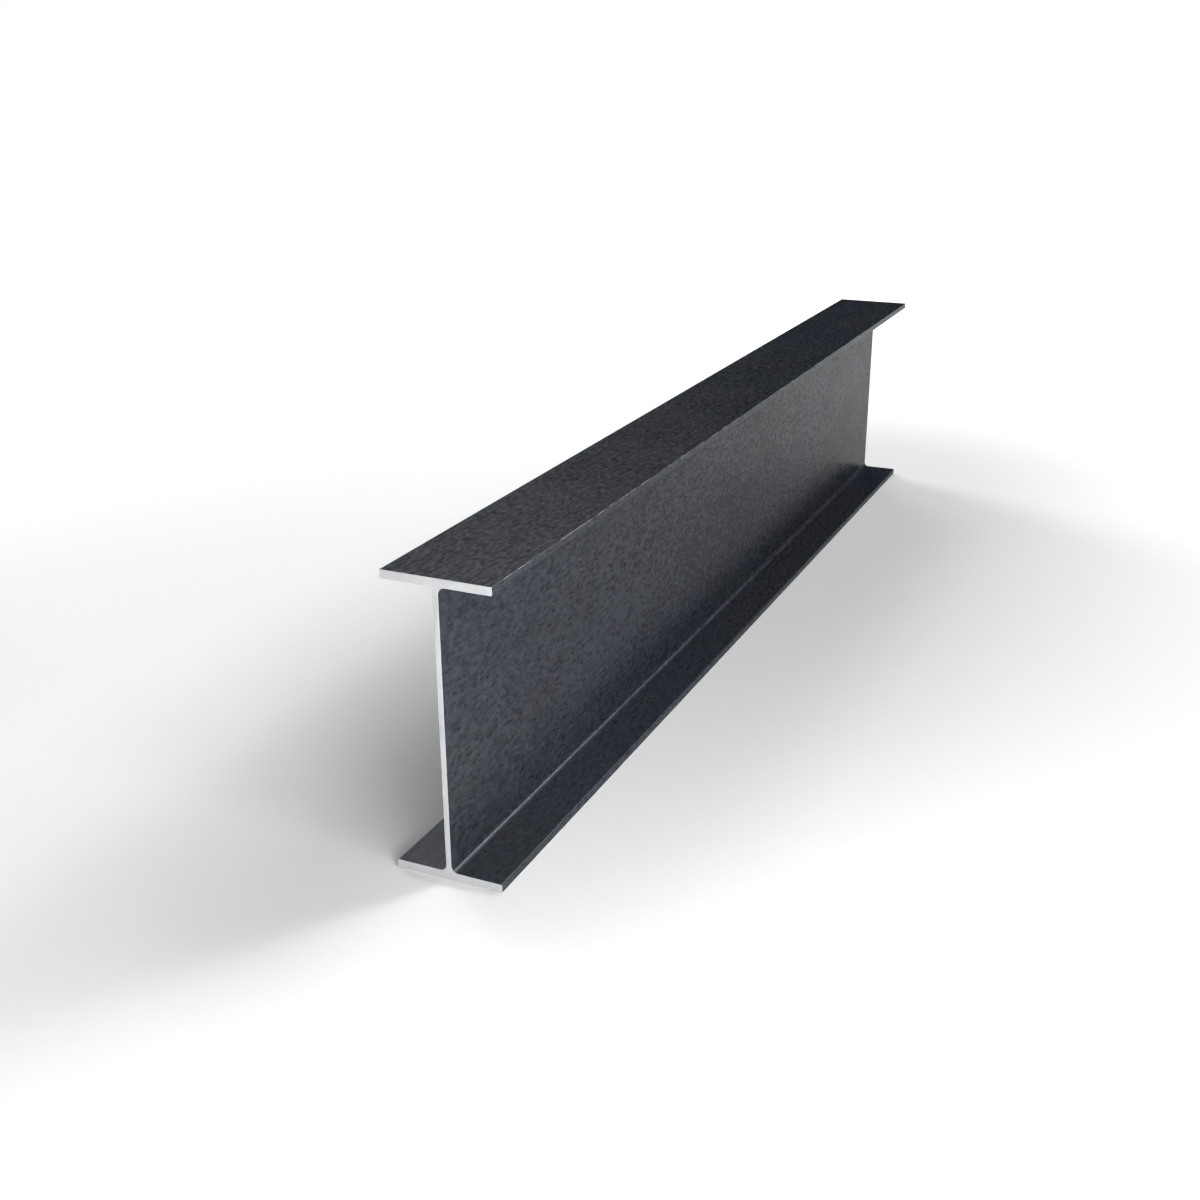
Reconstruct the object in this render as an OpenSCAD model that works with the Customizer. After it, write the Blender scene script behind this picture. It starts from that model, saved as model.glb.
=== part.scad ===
// Hot-rolled steel I-beam: one length of parallel-flange section, sawn square
// at both ends. The beam runs along X and stands on its bottom flange, with
// the origin at the middle of its underside.

/* [Length] */
// Length between the two sawn ends
beam_length = 3350; // [500:10:12000]

/* [Section] */
// Overall depth, over both flanges
section_depth = 683.5; // [400:0.5:1000]
// Width of each flange
flange_width = 253.7; // [150:0.1:400]
// Thickness of each flange
flange_thickness = 19; // [8:0.1:50]
// Thickness of the web
web_thickness = 12.4; // [6:0.1:30]

/* [Rolled radii] */
// Radius of the root fillets, between the web and the flanges
root_radius = 15.2; // [5:0.1:30]
// Radius of the flange toes, on the sides that face the web
toe_radius = 3.5; // [1:0.1:4]
// Radius of the flanges' outer long edges
edge_radius = 1.2; // [0.2:0.1:2]

/* [Hidden] */
steel_colour = [0.27, 0.29, 0.32];
arc_steps = 96;
// How far a cutting shape runs past the surface it crosses
overrun = 1;

// Cuts a square corner to a quarter round. The corner is at the origin, with
// its material in the +X +Y quarter, and the cutter runs past both sides.
module corner_cut(radius) {
    difference() {
        translate([-overrun, -overrun]) square(radius + overrun);
        translate([radius, radius]) circle(r = radius, $fn = arc_steps);
    }
}

// The hollow on one side of the web, open at the flange toes. Its two inner
// corners are rounded, and what they leave behind is the root fillets.
module side_hollow() {
    difference() {
        translate([web_thickness / 2, flange_thickness])
            square([flange_width / 2, section_depth - 2 * flange_thickness]);
        translate([web_thickness / 2, flange_thickness]) corner_cut(root_radius);
        translate([web_thickness / 2, section_depth - flange_thickness])
            mirror([0, 1]) corner_cut(root_radius);
    }
}

// Rounds one flange tip: its outer long edge and its toe.
module flange_tip_cuts() {
    translate([flange_width / 2, 0]) mirror([1, 0]) corner_cut(edge_radius);
    translate([flange_width / 2, flange_thickness])
        mirror([1, 0]) mirror([0, 1]) corner_cut(toe_radius);
}

// The whole section, with its underside on the X axis.
module section_outline() {
    difference() {
        translate([-flange_width / 2, 0]) square([flange_width, section_depth]);
        for (side = [0, 1]) mirror([side, 0]) {
            side_hollow();
            flange_tip_cuts();
            translate([0, section_depth]) mirror([0, 1]) flange_tip_cuts();
        }
    }
}

// The section's width lies along Y and its depth along Z.
module rolled_beam() {
    color(steel_colour)
        translate([-beam_length / 2, 0, 0])
            rotate([90, 0, 90]) linear_extrude(height = beam_length) section_outline();
}

rolled_beam();
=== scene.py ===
"""A dark mill-finish steel I-beam, sawn bare at its ends, on a plain white studio floor."""

import math

import bmesh
import bpy
from mathutils import Matrix, Vector


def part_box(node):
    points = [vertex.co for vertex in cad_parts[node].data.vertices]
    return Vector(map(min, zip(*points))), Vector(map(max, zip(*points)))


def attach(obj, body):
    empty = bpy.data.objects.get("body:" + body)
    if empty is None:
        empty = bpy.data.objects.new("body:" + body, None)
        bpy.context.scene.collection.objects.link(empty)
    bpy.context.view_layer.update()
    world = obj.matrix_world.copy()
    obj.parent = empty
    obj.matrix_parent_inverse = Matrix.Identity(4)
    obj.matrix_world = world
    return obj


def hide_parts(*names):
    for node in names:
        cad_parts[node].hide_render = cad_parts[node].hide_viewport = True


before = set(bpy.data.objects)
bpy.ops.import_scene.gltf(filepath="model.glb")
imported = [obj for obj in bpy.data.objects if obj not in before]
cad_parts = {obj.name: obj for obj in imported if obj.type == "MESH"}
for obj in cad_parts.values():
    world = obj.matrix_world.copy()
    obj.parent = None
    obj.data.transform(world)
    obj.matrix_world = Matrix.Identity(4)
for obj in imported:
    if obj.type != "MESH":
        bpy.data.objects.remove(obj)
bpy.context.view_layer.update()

LOW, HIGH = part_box("rolled_beam")

# The rolled section, in metres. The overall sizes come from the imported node.
LENGTH = HIGH.x - LOW.x
WIDTH = HIGH.y - LOW.y
DEPTH = HIGH.z - LOW.z
WEB = 0.0124
FLANGE = 0.019
ROOT_R = 0.0152
TOE_R = 0.0035
EDGE_R = 0.0012
BURR = 0.0005  # the sawn edges are eased by this much

# How finely the beam's mesh is divided
STATIONS = 34  # stretches along the length
EDGE_STEPS = 4
TOE_STEPS = 7
ROOT_STEPS = 18

# The beam's material slots
SCALE_SLOT = 0
SAWN_SLOT = 1


# ---------------------------------------------------------------- the beam's mesh


def arc(centre_y, centre_z, radius, start, stop, steps, hollow=False):
    """Points on an arc, each with the outward normal of the steel. Angles are in degrees."""
    points = []
    facing = -1 if hollow else 1
    for i in range(steps + 1):
        angle = math.radians(start + (stop - start) * i / steps)
        c, s = math.cos(angle), math.sin(angle)
        points.append((centre_y + radius * c, centre_z + radius * s, facing * c, facing * s))
    return points


def quarter():
    """The lower right quarter of the section, from mid underside to mid web."""
    half, inner = WIDTH / 2, WEB / 2
    points = [(0.0, 0.0, 0.0, -1.0), (half / 2, 0.0, 0.0, -1.0)]
    points += arc(half - EDGE_R, EDGE_R, EDGE_R, -90, 0, EDGE_STEPS)
    points += arc(half - TOE_R, FLANGE - TOE_R, TOE_R, 0, 90, TOE_STEPS)
    points += [(half / 2, FLANGE, 0.0, 1.0)]
    points += arc(inner + ROOT_R, FLANGE + ROOT_R, ROOT_R, 270, 180, ROOT_STEPS, hollow=True)
    points += [(inner, DEPTH / 4, 1.0, 0.0), (inner, DEPTH / 2, 1.0, 0.0)]
    return points


def section():
    """The whole section as one loop of (y, z, normal y, normal z), anticlockwise."""
    low = quarter()
    right = low + [(y, DEPTH - z, ny, -nz) for y, z, ny, nz in reversed(low[:-1])]
    left = [(-y, z, -ny, nz) for y, z, ny, nz in reversed(right[1:-1])]
    return right + left


def build_beam():
    """The section swept along X and closed at both ends, with its arcs' own normals."""
    outline = section()
    count = len(outline)
    body = LENGTH - 2 * BURR
    between = [LOW.x + BURR + body * i / STATIONS for i in range(1, STATIONS)]
    places = [LOW.x, LOW.x + BURR] + between + [HIGH.x - BURR, HIGH.x]
    last = len(places) - 1

    bm = bmesh.new()
    rings = []
    for k, x in enumerate(places):
        inset = BURR if k in (0, last) else 0.0
        rings.append([
            bm.verts.new((x, y - inset * ny, z - inset * nz)) for y, z, ny, nz in outline])

    normals = []
    for k in range(last):
        eased = k in (0, last - 1)
        for i in range(count):
            j = (i + 1) % count
            face = bm.faces.new((rings[k][i], rings[k][j], rings[k + 1][j], rings[k + 1][i]))
            face.smooth = True
            face.material_index = SAWN_SLOT if eased else SCALE_SLOT
            pair = [Vector((0, *outline[i][2:])), Vector((0, *outline[j][2:]))]
            if eased:
                outward = Vector((-1 if k == 0 else 1, 0, 0))
                pair = [(normal + outward).normalized() for normal in pair]
            normals.append([pair[0], pair[1], pair[1], pair[0]])

    for ring, way in ((list(reversed(rings[0])), -1), (rings[last], 1)):
        face = bm.faces.new(ring)
        face.material_index = SAWN_SLOT
        normals.append([Vector((way, 0, 0))] * count)

    mesh = bpy.data.meshes.new("steel_beam")
    bm.to_mesh(mesh)
    bm.free()
    mesh.normals_split_custom_set([tuple(corner) for face in normals for corner in face])
    piece = bpy.data.objects.new("steel_beam", mesh)
    bpy.context.scene.collection.objects.link(piece)
    return piece


# ---------------------------------------------------------------- materials


class Nodes:
    """A short way to write a node tree. Each method gives an output socket, apart from add."""

    def __init__(self, tree):
        self.tree = tree
        tree.nodes.clear()

    def add(self, kind, inputs=None, **settings):
        """A new node. Each input is a value or another node's output."""
        node = self.tree.nodes.new(kind)
        for key, value in settings.items():
            setattr(node, key, value)
        for key, value in (inputs or {}).items():
            if isinstance(value, bpy.types.NodeSocket):
                self.tree.links.new(value, node.inputs[key])
            else:
                node.inputs[key].default_value = value
        return node

    def object_place(self):
        return self.add("ShaderNodeTexCoord").outputs["Object"]

    def noise(self, vector, scale, detail, rough, stretch=(1, 1, 1), shift=(0, 0, 0)):
        place = self.add(
            "ShaderNodeMapping", {"Vector": vector, "Location": shift, "Scale": stretch})
        noise = self.add("ShaderNodeTexNoise", {
            "Vector": place.outputs[0], "Scale": scale, "Detail": detail, "Roughness": rough})
        return noise.outputs[0]

    def ramp(self, value, span, to=(0.0, 1.0), easing="SMOOTHSTEP"):
        """Carries a value from one span over to another, and holds it at the ends."""
        return self.add("ShaderNodeMapRange", {
            "Value": value, "From Min": span[0], "From Max": span[1],
            "To Min": to[0], "To Max": to[1]}, interpolation_type=easing).outputs[0]

    def maths(self, operation, a, b):
        return self.add("ShaderNodeMath", {0: a, 1: b}, operation=operation).outputs[0]

    def vector_maths(self, operation, a, b=(0, 0, 0), output="Vector"):
        return self.add("ShaderNodeVectorMath", {0: a, 1: b}, operation=operation).outputs[output]

    def mix(self, share, a, b):
        """Colour a going over to colour b as the share goes from 0 to 1."""
        return self.add("ShaderNodeMix", {0: share, 6: a, 7: b}, data_type="RGBA").outputs[2]


def new_material(name, paint):
    """A material with the shader node that paint makes in its empty node tree."""
    material = bpy.data.materials.new(name)
    material.use_nodes = True
    nodes = Nodes(material.node_tree)
    nodes.add("ShaderNodeOutputMaterial", {0: paint(nodes).outputs[0]})
    return material


def rubbed_edges_and_glint(t, where):
    """How pale the flanges' outer long edges are: rubbed bare steel that is also a painted edge
    glint, up to 0.8 there, 0 elsewhere.
    """
    from_middle = t.vector_maths("SUBTRACT", where, (0, 0, DEPTH / 2))
    distance = t.add("ShaderNodeSeparateXYZ", {0: t.vector_maths("ABSOLUTE", from_middle)})
    at_side = t.ramp(distance.outputs["Y"], (WIDTH / 2 - 2 * EDGE_R, WIDTH / 2 - EDGE_R / 2))
    at_top = t.ramp(distance.outputs["Z"], (DEPTH / 2 - 2 * EDGE_R, DEPTH / 2 - EDGE_R / 2))
    broken_rub_and_glint = t.noise(
        where, scale=60.0, detail=2.0, rough=0.5, stretch=(0.5, 1.0, 1.0), shift=(7.0, 0.0, 0.0))
    on_edge = t.maths("MULTIPLY", at_side, at_top)
    return t.maths("MULTIPLY", on_edge, t.ramp(broken_rub_and_glint, (0.42, 0.60), (0.1, 0.8)))


def mill_scale(t):
    """Dark blue-grey scale left by hot rolling: satin, finely streaked along the beam."""
    blue = (0.0215, 0.0275, 0.0400, 1)
    grey = (0.0235, 0.0270, 0.0330, 1)
    dark = (0.013, 0.015, 0.019, 1)
    pale = (0.056, 0.064, 0.080, 1)
    bare_steel_glint = (0.22, 0.225, 0.235, 1)
    where = t.object_place()
    clouds = t.noise(where, scale=2.6, detail=3.0, rough=0.5, stretch=(0.6, 1.0, 1.0))
    patches = t.noise(
        where, scale=9.0, detail=4.0, rough=0.6, stretch=(0.5, 1.0, 1.0), shift=(3.1, 0.4, 1.7))
    streaks = t.noise(
        where, scale=110.0, detail=3.0, rough=0.6, stretch=(0.45, 1.0, 1.0), shift=(0.2, 5.0, 2.3))
    grain = t.noise(where, scale=300.0, detail=2.0, rough=0.6, stretch=(0.7, 1.0, 1.0))
    colour = t.mix(t.ramp(clouds, (0.38, 0.62)), blue, grey)
    colour = t.mix(t.maths("MULTIPLY", t.ramp(patches, (0.45, 0.72)), 0.3), colour, dark)
    colour = t.mix(t.ramp(streaks, (0.32, 0.70), (0.0, 0.55), "LINEAR"), colour, pale)
    # pale outer long edges: rubbed bare steel, and a painted glint along those edges as well
    colour = t.mix(rubbed_edges_and_glint(t, where), colour, bare_steel_glint)
    # darker streaks are glossier and more metallic than pale ones, and the grain breaks them up
    metallic = t.maths(
        "ADD",
        t.ramp(streaks, (0.28, 0.72), (0.60, 0.15), "LINEAR"),
        t.ramp(grain, (0.28, 0.72), (0.14, -0.14), "LINEAR"))
    rough = t.maths(
        "ADD",
        t.ramp(streaks, (0.30, 0.70), (0.28, 0.36), "LINEAR"),
        t.ramp(patches, (0.35, 0.7), (-0.02, 0.03)))
    height = t.maths("ADD", t.maths("MULTIPLY", streaks, 0.75), t.maths("MULTIPLY", grain, 0.25))
    bump = t.add("ShaderNodeBump", {"Strength": 0.5, "Distance": 0.0012, "Height": height})
    return t.add("ShaderNodeBsdfPrincipled", {
        "Base Color": colour, "Roughness": rough, "Metallic": metallic, "IOR": 1.5,
        "Specular Tint": (0.3, 0.3, 0.3, 1), "Normal": bump.outputs[0]})


def sawn_steel(t):
    """Bare steel where the ends were sawn: pale, matt, with faint blade marks."""
    pale = (0.49, 0.495, 0.505, 1)
    shade = (0.44, 0.445, 0.455, 1)
    where = t.object_place()
    marks = t.noise(where, scale=260.0, detail=2.0, rough=0.5, stretch=(1.0, 0.12, 1.0))
    clouds = t.noise(where, scale=14.0, detail=2.0, rough=0.5)
    bump = t.add("ShaderNodeBump", {"Strength": 0.12, "Distance": 0.0003, "Height": marks})
    return t.add("ShaderNodeBsdfPrincipled", {
        "Base Color": t.mix(t.ramp(clouds, (0.35, 0.65)), pale, shade),
        "Roughness": t.ramp(marks, (0.3, 0.7), (0.5, 0.62)), "Metallic": 0.0,
        "Normal": bump.outputs[0]})


def studio_floor(t):
    """Matt white. Away from the beam it glows a little: painted light that thins the beam's cast
    shadow from 0.25 m out, and keeps the floor white to the horizon.
    """
    mirrored = t.vector_maths("ABSOLUTE", t.object_place())
    past_end = t.vector_maths("SUBTRACT", mirrored, (LENGTH / 2, 0, 0))
    gap = t.vector_maths("MAXIMUM", past_end)
    away = t.vector_maths("LENGTH", gap, output="Value")
    # painted light: the floor glows more with distance from the beam, fading the outer part of its
    # cast shadow
    shadow_lifting_glow = t.ramp(away, (0.25, 1.4), (0.0, 0.27))
    far_glow = t.ramp(away, (1.6, 8.0), (0.0, 0.90))
    return t.add("ShaderNodeBsdfPrincipled", {
        "Base Color": (0.86, 0.86, 0.86, 1), "Roughness": 1.0, "Specular IOR Level": 0.0,
        "Emission Color": (1, 1, 1, 1), "Emission Strength": t.maths("ADD", shadow_lifting_glow, far_glow)})


beam = build_beam()
beam.data.materials.append(new_material("mill_scale", mill_scale))
beam.data.materials.append(new_material("sawn_end", sawn_steel))
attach(beam, "root")
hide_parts("rolled_beam")


# ---------------------------------------------------------------- the floor

FLOOR_HALF = 60.0
FLOOR_DROP = 0.0002  # keeps the floor out of the plane of the beam's underside

floor_mesh = bpy.data.meshes.new("floor")
floor_mesh.from_pydata(
    [(x * FLOOR_HALF, y * FLOOR_HALF, 0) for x, y in ((-1, -1), (1, -1), (1, 1), (-1, 1))],
    [], [(0, 1, 2, 3)])
floor = bpy.data.objects.new("floor", floor_mesh)
floor.location.z = -FLOOR_DROP
floor.data.materials.append(new_material("studio_floor", studio_floor))
bpy.context.scene.collection.objects.link(floor)


# ---------------------------------------------------------------- the lights

FAR_AIM = Vector((0.0, 0.0, 0.3))
FAR = 12.0  # metres from FAR_AIM to each distant softbox
NEAR_AIM = (LOW.x + 0.1, 0.0, 0.0)  # on the floor, under the near end of the beam


def direction(heading, rise):
    """A unit vector, from an angle from +X towards +Y and one above the horizon, in radians."""
    level = math.cos(rise)
    return Vector((math.cos(heading) * level, math.sin(heading) * level, math.sin(rise)))


def softbox(name, place, aim, size, power):
    """A square soft light at a place, turned to face a point. The camera doesn't see it."""
    lamp = bpy.data.lights.new(name, "AREA")
    lamp.shape = "SQUARE"
    lamp.size = size
    lamp.energy = power
    holder = bpy.data.objects.new(name, lamp)
    holder.location = place
    holder.rotation_euler = (Vector(aim) - Vector(place)).to_track_quat("-Z", "Y").to_euler()
    holder.visible_camera = False
    bpy.context.scene.collection.objects.link(holder)


# name, bearing and height (degrees), size (m), power (W)
for name, bearing, height, size, power in (
    ("rear_right_high", 330, 50, 6.0, 550),
    ("rear_right_low", 324, 34, 2.0, 400),
    ("rear_left_high", 30, 42, 3.0, 190),
    ("left_low", 60, 22, 4.0, 700),
    ("front_right_wide", 225, 35, 6.0, 120),
):
    way = direction(math.radians(bearing), math.radians(height))
    softbox(name, FAR_AIM + way * FAR, FAR_AIM, size, power)

# name, place (m), size (m), power (W)
for name, place, size, power in (
    ("front_right_near", (-3.4, -2.4, 0.7), 1.0, 60),
    ("right_near", (-2.0, -1.6, 1.6), 0.6, 15),
    ("front_low_near", (-2.7, -0.8, 0.4), 0.5, 9),
):
    softbox(name, place, NEAR_AIM, size, power)

# The world is white to the camera, and lights nothing.
world = bpy.data.worlds.new("studio")
bpy.context.scene.world = world
world.use_nodes = True
sky = Nodes(world.node_tree)
seen = sky.add("ShaderNodeLightPath").outputs["Is Camera Ray"]
unlit = sky.add("ShaderNodeBackground", {"Color": (1, 1, 1, 1), "Strength": 0.0})
white = sky.add("ShaderNodeBackground", {"Color": (1, 1, 1, 1), "Strength": 1.0})
both = sky.add("ShaderNodeMixShader", {0: seen, 1: unlit.outputs[0], 2: white.outputs[0]})
sky.add("ShaderNodeOutputWorld", {0: both.outputs[0]})


# ---------------------------------------------------------------- the camera

CAMERA_PLACE = (-3.949, -1.3984, 1.6777)
HEADING = math.radians(24.64)  # from +X towards +Y
DIP = math.radians(21.47)  # below the horizon
ROLL = math.radians(-0.35)

camera_data = bpy.data.cameras.new("camera")
camera_data.sensor_width = 36.0
camera_data.lens = 43.55
camera_data.clip_start = 0.05
camera_data.clip_end = 300.0
camera = bpy.data.objects.new("camera", camera_data)
forward = direction(HEADING, -DIP)
level = forward.cross(Vector((0, 0, 1))).normalized()
lift = level.cross(forward)
right = level * math.cos(ROLL) + lift * math.sin(ROLL)
up = right.cross(forward)
turn = Matrix((right, up, -forward)).transposed()
camera.matrix_world = Matrix.Translation(CAMERA_PLACE) @ turn.to_4x4()
bpy.context.scene.collection.objects.link(camera)
bpy.context.scene.camera = camera
bpy.context.scene.view_settings.view_transform = "Standard"
